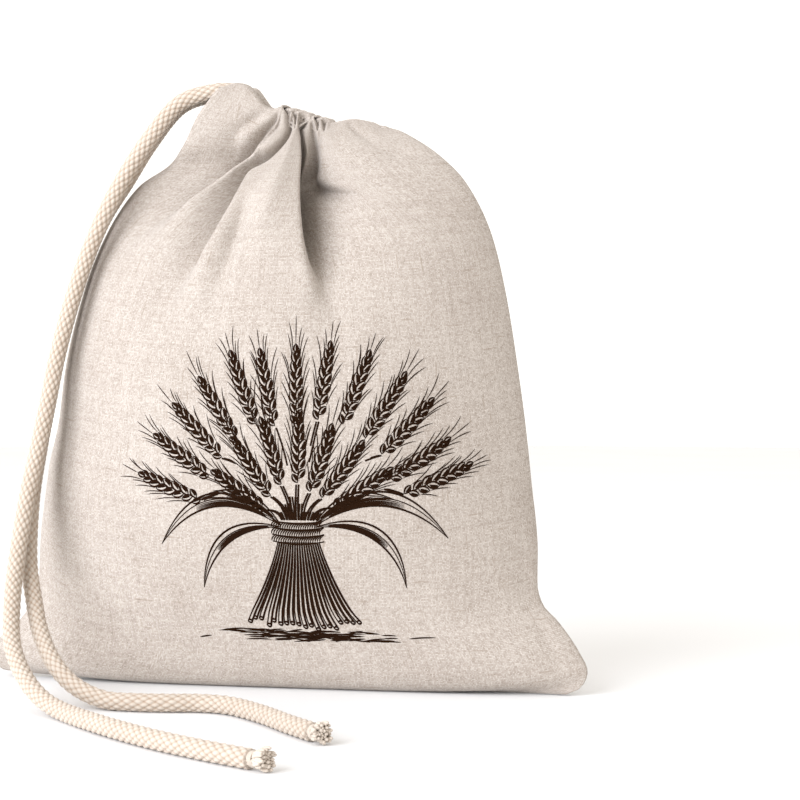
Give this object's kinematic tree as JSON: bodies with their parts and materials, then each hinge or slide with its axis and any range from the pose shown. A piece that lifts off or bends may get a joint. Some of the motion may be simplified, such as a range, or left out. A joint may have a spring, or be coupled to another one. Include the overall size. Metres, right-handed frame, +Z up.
{
  "type": "linen bread bag",
  "caption": "Filled linen bread bag standing upright, its top gathered by a cotton drawcord whose free ends hang down one side and lie in front.",
  "frame": {"origin": "under the middle of the bag, on the surface it stands on", "axes": "+Z up, -Y towards the printed front, +X towards the right side seam as seen from the front"},
  "size_m": [0.2895, 0.292, 0.2883],
  "materials": {
    "linen": "natural undyed plain weave linen, matt, with a dark brown print on the front",
    "cotton_cord": "braided unbleached cotton, matt"
  },
  "bodies": {
    "root": {"front_panel": "linen", "back_panel": "linen", "left_cord": "cotton_cord", "left_cord_end": "cotton_cord", "right_cord": "cotton_cord", "right_cord_end": "cotton_cord"}
  },
  "joints": []
}
